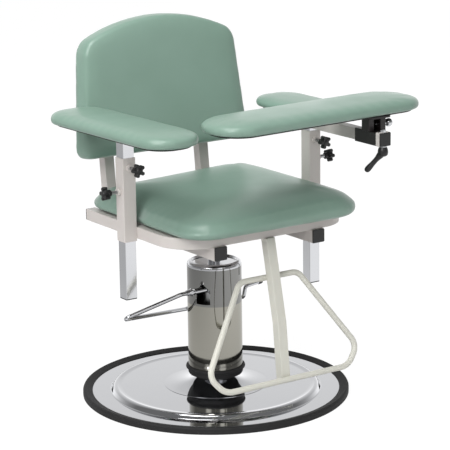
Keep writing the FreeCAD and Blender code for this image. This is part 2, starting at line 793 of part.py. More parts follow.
def back_outline(inset, depth):
    low = back_half_low - inset
    top = back_half_top - inset
    side = back_side - inset / 2
    peak = back_height - inset
    slope = (back_half_low - back_half_top) / back_side
    rc = max(back_corner_low - inset / 2, back_corner_low / 3)
    rt = max(back_corner_top - inset / 2, back_corner_top / 3)
    diagonal = 1 - math.sqrt(0.5)
    start = V(low - rc, depth, inset)
    bend_a = V(low - rc * diagonal, depth, inset + rc * diagonal)
    side_low = V(low - slope * rc, depth, inset + rc)
    side_top = V(top + slope * rt, depth, side - rt)
    arch = V(top - rt * arch_in_share, depth, side + rt * arch_up_share)
    bend_b = V(top - rt * bend_in_share, depth, side - rt * bend_down_share)
    crest = V(0, depth, peak)
    right = [start, bend_a, side_low, side_top, bend_b, arch]
    left = [V(-p.x, p.y, p.z) for p in right]
    return Part.Wire([
        Part.makeLine(left[0], right[0]), Part.Arc(right[0], right[1], right[2]).toShape(),
        Part.makeLine(right[2], right[3]), Part.Arc(right[3], right[4], right[5]).toShape(),
        Part.Arc(right[5], crest, left[5]).toShape(),
        Part.Arc(left[5], left[4], left[3]).toShape(), Part.makeLine(left[3], left[2]),
        Part.Arc(left[2], left[1], left[0]).toShape()])


def lean_back(shape):
    shape = shape.copy()
    shape.rotate(V(0, 0, 0), V(1, 0, 0), -lean)
    rise = math.cos(math.radians(lean)) * upright_rise_to_back
    run = math.sin(math.radians(lean)) * upright_rise_to_back
    shape.translate(V(0, upright_foot_y + run, tube_top_z + rise))
    return shape


panel = Part.Face(back_outline(back_board_inset, -back_board)).extrude(V(0, back_board, 0))
save(lean_back(panel), "back_board")
wires = [back_outline(inward * back_crown, -back_board - soft_gap - up * back_thick)
         for up, inward in crown_shares]
save(lean_back(Part.makeLoft(wires, True, False)), "back_cushion")

# Footrest
knee = V(0, step_knee_y, step_knee_z)
head = V(0, step_top_y, tube_top_z)
toe = V(0, step_low_y, step_low_z)
half_step = step_post / 2


def slanted(a, b, ahead, behind):
    way = b.sub(a).normalize()
    start = a.sub(V(way).multiply(behind))
    long = b.sub(a).Length + ahead + behind
    piece = prism(half_step, half_step, step_post_corner, long)
    angle = math.degrees(math.atan2(-way.y, way.z))
    piece.rotate(V(0, 0, 0), V(1, 0, 0), angle)
    piece.translate(start)
    return piece


post_low = slanted(toe, knee, step_post_corner, 0.0)
post_high = slanted(knee, head, step_post, 0.0)
post_high = post_high.cut(box(-step_post, step_post, head.y - base_r, head.y + base_r,
                              tube_top_z, tube_top_z + step_post * 3))
save(post_low.fuse(post_high).removeSplitter(), "footrest_post")

def post_y_at(z):
    if z > step_knee_z:
        return step_knee_y + (step_top_y - step_knee_y) * (z - step_knee_z) / (
            tube_top_z - step_knee_z)
    return step_low_y + (step_knee_y - step_low_y) * (z - step_low_z) / (step_knee_z - step_low_z)


tilt_high = math.cos(math.atan2(step_top_y - step_knee_y, tube_top_z - step_knee_z))
tilt_low = math.cos(math.atan2(step_knee_y - step_low_y, step_knee_z - step_low_z))
loop_top_y = post_y_at(loop_top_z) + (half_step + loop_r) / tilt_high
loop_low_y = post_y_at(loop_low_z) - (half_step + loop_r) / tilt_low
wide_share = (loop_wide_z - loop_low_z) / (loop_top_z - loop_low_z)
loop_wide_y = loop_low_y + (loop_top_y - loop_low_y) * wide_share
corners = [V(loop_top_half, loop_top_y, loop_top_z), V(loop_wide_half, loop_wide_y, loop_wide_z),
           V(loop_low_half, loop_low_y, loop_low_z)]
corners += [V(-p.x, p.y, p.z) for p in reversed(corners)]
radii = [loop_top_bend, loop_wide_bend, loop_low_bend]
radii += list(reversed(radii))
save(bent(loop_r, corners, radii, True), "footrest_loop")
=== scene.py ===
import json
import math
import bmesh
import bpy
from mathutils import Matrix, Vector, kdtree
from mathutils.noise import noise


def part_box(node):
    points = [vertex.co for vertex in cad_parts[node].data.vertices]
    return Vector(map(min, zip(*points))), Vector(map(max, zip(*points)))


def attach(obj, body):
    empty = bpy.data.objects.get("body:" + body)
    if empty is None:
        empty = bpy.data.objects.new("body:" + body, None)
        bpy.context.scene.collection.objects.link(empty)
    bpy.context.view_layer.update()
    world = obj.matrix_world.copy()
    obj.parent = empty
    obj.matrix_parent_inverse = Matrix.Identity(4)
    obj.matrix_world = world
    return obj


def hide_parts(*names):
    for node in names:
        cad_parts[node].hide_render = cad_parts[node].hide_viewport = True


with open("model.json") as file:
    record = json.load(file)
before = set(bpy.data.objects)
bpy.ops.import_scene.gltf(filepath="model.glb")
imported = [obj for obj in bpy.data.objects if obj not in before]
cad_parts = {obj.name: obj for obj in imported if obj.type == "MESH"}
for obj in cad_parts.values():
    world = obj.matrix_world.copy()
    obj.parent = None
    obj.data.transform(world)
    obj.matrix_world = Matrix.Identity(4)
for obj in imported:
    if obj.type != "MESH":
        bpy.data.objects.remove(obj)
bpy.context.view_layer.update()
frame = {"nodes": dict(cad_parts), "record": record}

scene = bpy.context.scene

# Metres in a millimetre; the outlines and sizes below are millimetres in the chair's own frame
MM = 0.001
UP = Vector((0, 0, 1))
ALONG_Y, ALONG_Z = 1, 2
SAME_PLACE = 1e-6
SAME_LEVEL = 1e-4
WHITE = (1.0, 1.0, 1.0, 1.0)


# Finishes

def linear(code):
    """An sRGB hex value as a linear colour."""
    parts = [int(code[i:i + 2], 16) / 255 for i in (1, 3, 5)]
    light = [c / 12.92 if c <= 0.04045 else ((c + 0.055) / 1.055) ** 2.4 for c in parts]
    return (*light, 1.0)


def per_mm(size):
    """Pattern scale on object coordinates for features of this many millimetres."""
    return 1000.0 / size


def add(tree, kind, takes=None, **settings):
    """A node with its settings; takes gives each input a value or another node's output."""
    made = tree.nodes.new(kind)
    for name, value in settings.items():
        setattr(made, name, value)
    for name, value in (takes or {}).items():
        if isinstance(value, bpy.types.NodeSocket):
            tree.links.new(value, made.inputs[name])
        else:
            made.inputs[name].default_value = value
    return made


def finish(name, colour, roughness, metallic=0.0, ior=1.5):
    """A material, and its surface: the tree, the shader and the object coordinates."""
    made = bpy.data.materials.new(name)
    made.use_nodes = True
    tree = made.node_tree
    shader = tree.nodes["Principled BSDF"]
    shader.inputs["Base Color"].default_value = linear(colour)
    shader.inputs["Roughness"].default_value = roughness
    shader.inputs["Metallic"].default_value = metallic
    shader.inputs["IOR"].default_value = ior
    place = add(tree, "ShaderNodeTexCoord").outputs["Object"]
    return made, (tree, shader, place)


def two_tone(surface, share, low, high):
    """Colour between two hex values, by a share from 0 to 1."""
    tree, shader, place = surface
    mix = add(tree, "ShaderNodeMix", {6: linear(low), 7: linear(high), 0: share}, data_type="RGBA")
    tree.links.new(mix.outputs[2], shader.inputs["Base Color"])


def tinted(surface, size, low, high):
    """Colour that drifts between two hex values over patches of a size in millimetres."""
    tree, shader, place = surface
    patches = add(tree, "ShaderNodeTexNoise", {"Vector": place, "Scale": per_mm(size), "Detail": 3.0})
    two_tone(surface, patches.outputs["Fac"], low, high)


def worn(surface, size, low, high):
    """Roughness that drifts between two values over patches of a size in millimetres."""
    tree, shader, place = surface
    patches = add(tree, "ShaderNodeTexNoise", {"Vector": place, "Scale": per_mm(size), "Detail": 4.0})
    spread = add(tree, "ShaderNodeMapRange", {"Value": patches.outputs["Fac"], "From Min": 0.3,
                                              "From Max": 0.7, "To Min": low, "To Max": high})
    tree.links.new(spread.outputs["Result"], shader.inputs["Roughness"])


def raised(surface, height, depth, strength):
    """Bump of a depth in millimetres."""
    tree, shader, place = surface
    bump = add(tree, "ShaderNodeBump", {"Height": height, "Distance": depth * MM, "Strength": strength})
    tree.links.new(bump.outputs["Normal"], shader.inputs["Normal"])


def grained(surface, size, detail, depth, strength):
    """Bump from an even grain; its size and depth are millimetres."""
    tree, shader, place = surface
    grain = add(tree, "ShaderNodeTexNoise", {"Vector": place, "Scale": per_mm(size), "Detail": detail})
    raised(surface, grain.outputs["Fac"], depth, strength)


def lined(surface, stretch, size):
    """Bump from fine lines, drawn out where the stretch along an axis is small."""
    tree, shader, place = surface
    along = add(tree, "ShaderNodeMapping", {"Vector": place, "Scale": stretch})
    lines = add(tree, "ShaderNodeTexNoise", {"Vector": along.outputs["Vector"], "Scale": per_mm(size),
                                             "Detail": 3.0})
    raised(surface, lines.outputs["Fac"], depth=0.02, strength=0.3)


# Expanded PVC upholstery vinyl with an embossed leather grain, calendered and satin:
# soft broad highlights and a fine pebble that only shows in them. The real pebble is 1 mm
# and is drawn at 2.2 mm so that it shows.
vinyl, surface = finish("sage_upholstery_vinyl", "#7E998C", roughness=0.4)
tinted(surface, size=150.0, low="#779283", high="#849E92")
worn(surface, size=90.0, low=0.28, high=0.37)
tree, shader, place = surface
pebble = add(tree, "ShaderNodeTexVoronoi", {"Vector": place, "Scale": per_mm(2.2), "Smoothness": 0.6},
             feature="SMOOTH_F1")
raised(surface, pebble.outputs["Distance"], depth=0.12, strength=0.35)

# Plywood board, sprayed matt black: no gloss, a trace of grain under the paint
board_black, surface = finish("black_sprayed_plywood", "#1C1B1A", roughness=0.6)
grained(surface, size=4.0, detail=4.0, depth=0.2, strength=0.4)

# Polyester powder coat on steel tube, warm light grey: satin, with a faint orange peel
# that is drawn as coarse as it needs to show
paint_frame, surface = finish("warm_grey_powder_coat", "#CCC6C2", roughness=0.36)
tinted(surface, size=220.0, low="#C7C0BC", high="#D1CCC8")
grained(surface, size=2.5, detail=2.0, depth=0.06, strength=0.4)

# The same coat in a cream grey on the footrest
paint_step, surface = finish("cream_grey_powder_coat", "#D3D2C8", roughness=0.34)
tinted(surface, size=200.0, low="#CDCCC1", high="#D8D7CE")
grained(surface, size=2.5, detail=2.0, depth=0.06, strength=0.4)

# Bright chrome on spun and polished steel: a mirror with very slight waves
chrome_base, surface = finish("bright_chrome_plate", "#C9CACD", roughness=0.05, metallic=1.0)
worn(surface, size=120.0, low=0.035, high=0.075)
grained(surface, size=70.0, detail=1.0, depth=0.5, strength=0.25)

# Chrome on drawn square tube: a little softer, faint draw lines along the tube
chrome_tube, surface = finish("chromed_square_tube", "#D6D7DA", roughness=0.09, metallic=1.0)
lined(surface, stretch=(1.0, 1.0, 0.02), size=2.0)

# Polished stainless steel column cover: a warm grey mirror with faint lines round it;
# above the lever's windows its colour is painted greyer, a painted darker reflection, which gives the line
# across the cover
COVER_PAINTED_REFLECTION_LINE = 216
COVER_LOWER, COVER_PAINTED_REFLECTION = "#A5A39A", "#888886"
steel_shroud, surface = finish("polished_stainless_cover", COVER_LOWER, roughness=0.05, metallic=1.0)
worn(surface, size=60.0, low=0.035, high=0.07)
tree, shader, place = surface
height = add(tree, "ShaderNodeSeparateXYZ", {0: place}).outputs["Z"]
# Painted reflection: the cover's colour turns greyer above this height
upper = add(tree, "ShaderNodeMapRange", {"Value": height, "From Min": (COVER_PAINTED_REFLECTION_LINE - 1) * MM,
                                         "From Max": (COVER_PAINTED_REFLECTION_LINE + 1) * MM})
two_tone(surface, upper.outputs["Result"], COVER_LOWER, COVER_PAINTED_REFLECTION)
lined(surface, stretch=(0.05, 0.05, 1.0), size=1.6)

# Extruded EPDM rubber edging: near black, dull, dusty in patches
rubber_rim, surface = finish("black_edging_rubber", "#19191A", roughness=0.7, ior=1.48)
tinted(surface, size=40.0, low="#151516", high="#1F1F20")
grained(surface, size=1.5, detail=3.0, depth=0.1, strength=0.4)

# Injection moulded nylon: black, soft sheen from a fine spark texture
black_plastic, surface = finish("black_moulded_nylon", "#131314", roughness=0.4, ior=1.53)
grained(surface, size=0.9, detail=2.0, depth=0.05, strength=0.5)

# Black powder coat on the sleeve and bracket: satin with a brown cast
black_metal, surface = finish("black_powder_coat", "#1E1819", roughness=0.34)
grained(surface, size=2.0, detail=2.0, depth=0.06, strength=0.5)

# Zinc plated steel of bolts and the pump: pale grey, brushed by handling
steel_part, surface = finish("zinc_plated_steel", "#A7A8A9", roughness=0.28, metallic=1.0)
worn(surface, size=12.0, low=0.22, high=0.4)

finishes = {"vinyl": vinyl, "board_black": board_black, "paint_frame": paint_frame,
            "paint_step": paint_step, "chrome_base": chrome_base, "chrome_tube": chrome_tube,
            "steel_shroud": steel_shroud, "rubber_rim": rubber_rim, "black_plastic": black_plastic,
            "black_metal": black_metal, "steel_part": steel_part}

for entry in frame["record"]["subparts"]:
    solid = frame["nodes"][entry["node"]]
    solid.data.materials.clear()
    solid.data.materials.append(finishes[entry["material_slot"]])


# Modelling helpers

def shown(bm, name, body, slot, replaces=(), sharp_above=32.0, matrix=None):
    """The bmesh as a finished piece in its place on a body."""
    bmesh.ops.remove_doubles(bm, verts=bm.verts, dist=SAME_PLACE)
    bmesh.ops.recalc_face_normals(bm, faces=bm.faces)
    if matrix:
        bmesh.ops.transform(bm, matrix=matrix, verts=bm.verts)
    mesh = bpy.data.meshes.new(name)
    bm.to_mesh(mesh)
    bm.free()
    mesh.polygons.foreach_set("use_smooth", [True] * len(mesh.polygons))
    mesh.set_sharp_from_angle(angle=math.radians(sharp_above))
    mesh.materials.append(finishes[slot])
    made = bpy.data.objects.new(name, mesh)
    scene.collection.objects.link(made)
    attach(made, body)
    even = made.modifiers.new("flat_faces_stay_flat", "WEIGHTED_NORMAL")
    even.keep_sharp = True
    if replaces:
        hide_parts(*replaces)
    return made


def rounded(bm, geom, radius, segments, affect="EDGES", clamp=False):
    """Rounds edges, or the corners of a flat outline, by a radius in millimetres."""
    bmesh.ops.bevel(bm, geom=geom, offset=radius * MM, offset_type="OFFSET", segments=segments,
                    profile=0.5, affect=affect, material=-1, clamp_overlap=clamp)


def soften(bm, width, segments=3, least=28.0):
    """Rounds every edge whose faces meet at more than the least angle. Width in millimetres."""
    sharp = [e for e in bm.edges
             if len(e.link_faces) == 2 and e.calc_face_angle(0.0) > math.radians(least)]
    rounded(bm, sharp, width, segments, clamp=True)


def thickened(bm, height):
    """Draws the flat faces up by a height in millimetres."""
    grown = bmesh.ops.extrude_face_region(bm, geom=bm.faces[:])
    top = [v for v in grown["geom"] if isinstance(v, bmesh.types.BMVert)]
    bmesh.ops.translate(bm, vec=(0, 0, height * MM), verts=top)


def turned(points, steps, closed=True, bm=None):
    """Profile of radius and height pairs in millimetres, turned round Z."""
    bm = bm or bmesh.new()
    verts = [bm.verts.new((r * MM, 0, z * MM)) for r, z in points]
    ends = zip(verts, verts[1:] + verts[:1]) if closed else zip(verts, verts[1:])
    edges = [bm.edges.new(pair) for pair in ends]
    bmesh.ops.spin(bm, geom=verts + edges, cent=(0, 0, 0), axis=UP, angle=math.tau, steps=steps,
                   use_merge=True, dvec=(0, 0, 0))
    bmesh.ops.remove_doubles(bm, verts=bm.verts, dist=SAME_PLACE)
    bmesh.ops.recalc_face_normals(bm, faces=bm.faces)
    return bm


def facing(start, way):
    """Matrix that stands Z along a way at a point in millimetres."""
    upright = Vector(way).to_track_quat("Z", "X").to_matrix().to_4x4()
    return Matrix.Translation(Vector(start) * MM) @ upright


def at(x, y, z=0.0, turn=0.0):
    """Matrix for a place in millimetres and a turn in degrees round Z."""
    return Matrix.Translation(Vector((x, y, z)) * MM) @ Matrix.Rotation(math.radians(turn), 4, "Z")


def block(low, high, corner, edge, axis):
    """Box between two corners in metres; its edges along an axis are rounded by corner."""
    bm = bmesh.new()
    bmesh.ops.create_cube(bm, size=1.0)
    size = high - low
    bmesh.ops.scale(bm, vec=size, verts=bm.verts)
    bmesh.ops.translate(bm, vec=(low + high) / 2, verts=bm.verts)
    long = [e for e in bm.edges if abs((e.verts[0].co - e.verts[1].co)[axis]) > size[axis] / 2]
    rounded(bm, long, corner, segments=4)
    if edge:
        soften(bm, edge, segments=3, least=40.0)
    return bm


# Upholstery: how a foam pad under vinyl is made

def rounded_blank(half_x, half_y, corner):
    """Oblong outline with round corners."""
    bm = bmesh.new()
    bmesh.ops.create_grid(bm, x_segments=1, y_segments=1, size=1.0)
    bmesh.ops.scale(bm, vec=(half_x * MM, half_y * MM, 1.0), verts=bm.verts)
    rounded(bm, bm.verts[:], corner, segments=16, affect="VERTICES")
    return bm


def arched_blank(half_low, half_top, side, peak, corner_low, corner_top):
    """Back outline: sides that lean in and an arch on top."""
    bm = bmesh.new()
    rise = peak - side
    arch_r = (half_top ** 2 + rise ** 2) / (2 * rise)
    sweep = 2 * math.asin(half_top / arch_r)
    first = bm.verts.new((half_top * MM, side * MM, 0))
    bmesh.ops.spin(bm, geom=[first], cent=(0, (peak - arch_r) * MM, 0), axis=UP, angle=sweep, steps=18,
                   dvec=(0, 0, 0))
    bm.verts.ensure_lookup_table()
    ends = [v for v in bm.verts if len(v.link_edges) == 1]
    right = max(ends, key=lambda v: v.co.x)
    left = min(ends, key=lambda v: v.co.x)
    low = [bm.verts.new((s * half_low * MM, 0, 0)) for s in (1, -1)]
    for pair in ((right, low[0]), (low[0], low[1]), (low[1], left)):
        bm.edges.new(pair)
    bmesh.ops.edgeloop_fill(bm, edges=bm.edges)
    rounded(bm, low, corner_low, segments=8, affect="VERTICES")
    top = [v for v in bm.verts
           if v.co.y > (side - 1) * MM and abs(abs(v.co.x) - half_top * MM) < SAME_LEVEL]
    rounded(bm, top, corner_top, segments=8, affect="VERTICES")
    return bm


def applied(made):
    """Bakes the piece's modifiers into its mesh."""
    graph = bpy.context.evaluated_depsgraph_get()
    old = made.data
    made.data = bpy.data.meshes.new_from_object(made.evaluated_get(graph))
    made.modifiers.clear()
    bpy.data.meshes.remove(old)


def smoothed(mesh, rounds):
    """Moves each vertex half way to its neighbours' middle, some rounds."""
    bm = bmesh.new()
    bm.from_mesh(mesh)
    for _ in range(rounds):
        bmesh.ops.smooth_vert(bm, verts=bm.verts, factor=0.5, use_axis_x=True, use_axis_y=True,
                              use_axis_z=True)
    bm.to_mesh(mesh)
    bm.free()


FOAM_PRESSURE = 4.0
SETTLE_FRAMES = 20


def swell(made, rest_height, cap):
    """Foam pressure under the vinyl, as a cloth simulation that is pinned where it rests.

    What lies below the rest height is held, and no vertex moves further than the cap.
    """
    mesh = made.data
    start = [v.co.copy() for v in mesh.vertices]
    rests = made.vertex_groups.new(name="rests")
    rests.add([v.index for v in mesh.vertices if v.co.z < rest_height * MM], 1.0, "REPLACE")
    cloth = made.modifiers.new("foam", "CLOTH")
    cloth.settings.quality = 4
    cloth.settings.use_pressure = True
    cloth.settings.uniform_pressure_force = FOAM_PRESSURE
    cloth.settings.effector_weights.gravity = 0.0
    cloth.settings.vertex_group_mass = "rests"
    cloth.point_cache.frame_start = 1
    cloth.point_cache.frame_end = SETTLE_FRAMES
    for step in range(1, SETTLE_FRAMES + 1):
        scene.frame_set(step)
    moved = bpy.data.meshes.new_from_object(made.evaluated_get(bpy.context.evaluated_depsgraph_get()))
    for vertex, old, new in zip(mesh.vertices, start, moved.vertices):
        shift = new.co - old
        if shift.length > 1e-9:
            limit = cap * MM * (1 - math.exp(-shift.length / (cap * MM)))
            vertex.co = old + shift * (limit / shift.length)
    made.modifiers.remove(cloth)
    made.vertex_groups.clear()
    bpy.data.meshes.remove(moved)
    scene.frame_set(1)


# Faces that meet at more than this angle in radians make a rim of the blank
RIM_ANGLE = 1.2
RIM_MARKS = 12
UNEVEN_DEPTH, UNEVEN_SCALE, UNEVEN_FROM = 0.25, 14, 6


def upholstered(name, node, body, blank, low, thick, edge, under, crown, spread, place, voxel, cap,
                shape):
    """A foam pad under vinyl, drawn flat on its board and then put in place.

    Heights and sizes are millimetres. The blank is the outline; low is the underside's height and
    thick the whole height; edge is the radius of the upper rim, under that of the lower one; the
    crown rises over the spread from the edge; cap limits the swelling; shape moves each point last.
    """
    outline = blank.edges[:]
    rim = kdtree.KDTree(len(outline) * RIM_MARKS)
    for i, e in enumerate(outline):
        for j in range(RIM_MARKS):
            rim.insert(e.verts[0].co.lerp(e.verts[1].co, j / RIM_MARKS), i * RIM_MARKS + j)
    rim.balance()
    thickened(blank, thick - crown)
    bmesh.ops.recalc_face_normals(blank, faces=blank.faces)
    for radius, upper_rim in ((edge, True), (under, False)):
        around = [e for e in blank.edges
                  if len(e.link_faces) == 2 and e.calc_face_angle(0.0) > RIM_ANGLE
                  and all((v.co.z > SAME_LEVEL) == upper_rim for v in e.verts)]
        rounded(blank, around, radius, segments=6)
    mesh = bpy.data.meshes.new(name)
    blank.to_mesh(mesh)
    blank.free()
    made = bpy.data.objects.new(name, mesh)
    scene.collection.objects.link(made)
    remesh = made.modifiers.new("remesh", "REMESH")
    remesh.mode = "VOXEL"
    remesh.voxel_size = voxel * MM
    applied(made)
    smoothed(made.data, 4)
    body_height = (thick - crown) * MM
    for v in made.data.vertices:
        inward = rim.find(Vector((v.co.x, v.co.y, 0)))[2]
        up = min(max(v.co.z / body_height, 0.0), 1.0) ** 2
        v.co.z += crown * MM * up * (1 - math.exp(-inward / (spread * MM)))
    smoothed(made.data, 3)
    swell(made, under + 1.0, cap)
    smoothed(made.data, 3)
    for v in made.data.vertices:
        v.co = shape(v.co)
    smoothed(made.data, 2)
    lowest = min(v.co.z for v in made.data.vertices)
    for v in made.data.vertices:
        v.co.z = v.co.z - lowest + low * MM
        uneven = UP * UNEVEN_DEPTH * MM * noise(v.co * UNEVEN_SCALE)
        v.co += uneven * (v.co.z > (low + UNEVEN_FROM) * MM)
    made.data.transform(place)
    made.data.polygons.foreach_set("use_smooth", [True] * len(made.data.polygons))
    made.data.materials.clear()
    made.data.materials.append(vinyl)
    finer = made.modifiers.new("finer", "SUBSURF")
    finer.levels = finer.render_levels = 1
    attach(made, body)
    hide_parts(node)
    return made


def bell(value, centre, width):
    """1 at the centre, falling to nothing over about two widths."""
    return math.exp(-((value - centre) / width) ** 2)


def share(value, start, end):
    """0 at the start and 1 at the end, and held beyond them."""
    return min(max((value - start) / (end - start), 0.0), 1.0)


# Seat cushion and the board under it

SEAT_HALF_X, SEAT_HALF_Y = 231, 233
FOLD_DEPTH = 3.6
NEAR_SIDE_DROP, FAR_SIDE_LIFT = 6.0, 1.864
DENT_NEAR, DENT_FAR = 9.0, 4.0


def seat_shape(co):
    """A ridge on the front and side wall with a fold above it, dents at the posts, a lower near side."""
    x, y, z = co / MM
    out = Vector((x / SEAT_HALF_X, y / SEAT_HALF_Y, 0))
    out.normalize()
    crease = 23.5 + 3.0 * x / SEAT_HALF_X
    ridge = (bell(z, crease, 4.5) - bell(z, crease + 10, 7)) * FOLD_DEPTH
    front = min(max((60 - y) / 200, 0.2), 1.0)
    dent = bell(y, 7, 27) * bell(abs(x), SEAT_HALF_X, 26) * (DENT_NEAR if x < 0 else DENT_FAR)
    near = share(x, 120, -100)
    drawn = NEAR_SIDE_DROP * near * share(z, 0, 30) - FAR_SIDE_LIFT * (1 - near) * share(z, 24, 38)
    return co + (out * (ridge * front) - Vector((math.copysign(dent, x), 0, dent * 0.3 + drawn))) * MM


upholstered("seat_upholstery", "seat_cushion", "chair", rounded_blank(SEAT_HALF_X, SEAT_HALF_Y, corner=73),
            low=432.8, thick=64.0, edge=10.0, under=16.0, crown=34.0, spread=42.0, place=at(0, -41),
            voxel=5.0, cap=2.5, shape=seat_shape)

bm = rounded_blank(half_x=207.2, half_y=200.8, corner=50)
thickened(bm, 1.1)
shown(bm, "seat_underside", "chair", "board_black", ["seat_board"], sharp_above=40.0,
      matrix=at(0, -33, 431.45))


# Back cushion, which leans with the two uprights

def back_shape(co):
    """A thin crease round the middle of the rolled edge, where the vinyl is pulled over."""
    crease = bell(co.z / MM, 24, 2.6) * 0.9
    way = Vector((co.x, co.y - 0.15, 0)).normalized()
    return co + way * (crease * MM)


lean = math.radians(6)
foot_y, tube_top, rise_to_back = 219.5, 406.0, 126.0
stand = Matrix.Translation(Vector((0, foot_y + math.sin(lean) * rise_to_back,
                                   tube_top + math.cos(lean) * rise_to_back)) * MM)
back_place = stand @ Matrix.Rotation(-lean, 4, "X") @ Matrix.Rotation(math.pi / 2, 4, "X")
upholstered("back_upholstery", "back_cushion", "chair",
            arched_blank(half_low=227.5, half_top=204, side=262, peak=313, corner_low=24, corner_top=26),
            low=10.3, thick=54.5, edge=9.0, under=5.0, crown=6.0, spread=45.0, place=back_place,
            voxel=4.0, cap=2.0, shape=back_shape)


# Arm and flip rests

def pad_shape(co):
    """The lowest 12 mm are stretched by 2.4 mm, so that the wall stands deep on its board."""
    return co - UP * (2.4 * MM * max(1 - co.z / MM / 12, 0.0))


upholstered("right_arm_upholstery", "pad_cushion_right", "arm_right",
            rounded_blank(half_x=71.8, half_y=227.2, corner=67),
            low=638.9, thick=27.6, edge=10.0, under=4.0, crown=8.0, spread=26.0,
            place=at(-253, -33, turn=2.3), voxel=4.0, cap=1.5, shape=pad_shape)
upholstered("left_arm_upholstery", "pad_cushion_left", "arm_left",
            rounded_blank(half_x=63, half_y=129, corner=58),
            low=626.3, thick=23.6, edge=9.0, under=4.0, crown=6.0, spread=24.0,
            place=at(252, 11), voxel=4.0, cap=1.5, shape=pad_shape)
upholstered("flip_arm_upholstery", "pad_cushion_flip", "flip_arm",
            rounded_blank(half_x=282.2, half_y=79, corner=74),
            low=657.9, thick=27.2, edge=10.0, under=4.0, crown=8.0, spread=26.0,
            place=at(105.4, -234, turn=3.4), voxel=4.0, cap=1.5, shape=pad_shape)


# Pedestal: the radii and heights that its pieces share

PLATE_STEPS, COLUMN_STEPS = 160, 128
RIM_INNER, PLATE_EDGE_TOP = 292, 11
NECK_BORE, PLATE_TOP, NECK_TOP = 38, 20.5, 45
RAM_BORE, COVER_TOP = 14.05, 300

rim_outline = ((RIM_INNER, 0), (302.7, 0), (305, 2.3), (305, 12.5), (303.6, 15.5), (300.5, 17),
               (285.2, 13), (283, 11.6), (283, PLATE_EDGE_TOP), (RIM_INNER, PLATE_EDGE_TOP))
bm = turned(rim_outline, PLATE_STEPS)
soften(bm, 1.2, segments=3, least=18.0)
shown(bm, "rim_rubber", "base", "rubber_rim", ["base_rim"], sharp_above=60.0)

dish_outline = ((RIM_INNER, 6.5), (RIM_INNER, PLATE_EDGE_TOP), (241, PLATE_EDGE_TOP), (236, 18),
                (233, 20.6), (229, 21.6), (225, 21.2), (220, 19.9), (214, 19.95), (130, 20.45),
                (124, PLATE_TOP), (NECK_BORE, PLATE_TOP), (NECK_BORE, 16), (124, 16), (231, 15), (240, 6.5))
bm = turned(dish_outline, PLATE_STEPS)
soften(bm, 2.0, segments=4, least=16.0)
shown(bm, "base_dish", "base", "chrome_base", ["base_plate"], sharp_above=50.0)

throat_outline = ((NECK_BORE, PLATE_TOP), (118, PLATE_TOP), (118, 21.1), (109, 21.4), (100, 21.9),
                  (91, 22.7), (82, 23.8), (74, 25.2), (67, 26.8), (61, 28.8), (55.6, 31), (51.3, 33.3),
                  (48.1, 35.6), (45.8, 37.8), (44.4, 39.8), (44, 41.4), (44.6, 42.8), (46.5, 44),
                  (50, NECK_TOP), (NECK_BORE, NECK_TOP))
bm = turned(throat_outline, COLUMN_STEPS)
shown(bm, "base_throat", "base", "chrome_base", ["base_neck"], sharp_above=50.0)

seal_outline = ((NECK_BORE, NECK_TOP), (58, NECK_TOP), (61, 46.2), (62.6, 49.5), (63, 54), (64.4, 57.2),
                (67.4, 59.6), (68, 62), (67, 64.8), (64.4, 66), (NECK_BORE, 66))
bm = turned(seal_outline, COLUMN_STEPS)
soften(bm, 0.8, segments=2)
shown(bm, "cover_seal", "base", "rubber_rim", ["shroud_ring"], sharp_above=60.0)

cap_outline = ((RAM_BORE, COVER_TOP), (62.2, COVER_TOP), (62.2, 304), (61, 308), (58.4, 310.9),
               (54.2, 312), (51.7, 312), (49.2, 308), (RAM_BORE, 308))
bm = turned(cap_outline, COLUMN_STEPS)
soften(bm, 0.6, segments=2)
shown(bm, "cover_cap", "base", "chrome_base", ["shroud_cap"], sharp_above=40.0)


# Star knobs on their screws

LOBE_AT, LOBE_R, WEB_HALF, KNOB_CORE_R = 10.8, 4.3, 3.5, 8.5
LOBE_TURN = math.tau / 5
KNOB_THICK, KNOB_STEPS = 13, 40
POST_X, POST_Y, KNOB_REACH = 248.9, -33.7, 45.875
collar_outline = ((4.0, -7), (6.6, -7), (7.0, -6.4), (7.4, 0.4), (4.0, 0.4))
button_outline = ((0, 14.8), (3.0, 14.8), (5.4, 14.2), (6.5, 12.9), (0, 12.9))


def knob_radius(turn):
    """Radius of the five-lobed outline at an angle."""
    away = (turn - math.pi / 2) % LOBE_TURN
    away = min(away, LOBE_TURN - away)
    side = LOBE_AT * math.sin(away)
    lobe = LOBE_AT * math.cos(away) + math.sqrt(LOBE_R ** 2 - side ** 2) if side < LOBE_R else 0.0
    web = min(WEB_HALF / max(math.sin(away), SAME_PLACE), LOBE_AT)
    return max(lobe, web, KNOB_CORE_R)


def star_knob(side, seat, way):
    """Five-lobed knob with its collar and button, from its seat on the screw outwards."""
    bm = bmesh.new()
    bmesh.ops.create_circle(bm, cap_ends=True, segments=90, radius=1.0)
    for v in bm.verts:
        v.co *= knob_radius(math.atan2(v.co.y, v.co.x) % math.tau) * MM
    thickened(bm, KNOB_THICK)
    bmesh.ops.recalc_face_normals(bm, faces=bm.faces)
    rims = [e for e in bm.edges if abs(e.verts[0].co.z - e.verts[1].co.z) < SAME_PLACE]
    rounded(bm, rims, 1.6, segments=3)
    turned(collar_outline, KNOB_STEPS, bm=bm)
    turned(button_outline, KNOB_STEPS, closed=False, bm=bm)
    shown(bm, "star_knob_" + side, "knob_body_" + side, "black_plastic", ["knob_" + side],
          sharp_above=35.0, matrix=facing(seat, way))


for side, x, way, z in (("front_right", -POST_X, (0, -1, 0), 565), ("side_right", -POST_X, (-1, 0, 0), 512),
                        ("front_left", POST_X, (0, -1, 0), 565), ("side_left", POST_X, (1, 0, 0), 520)):
    star_knob(side, Vector((x, POST_Y, z)) + Vector(way) * KNOB_REACH, way)


# Chromed arm tubes, the plastic caps and the bracket under the flip rest

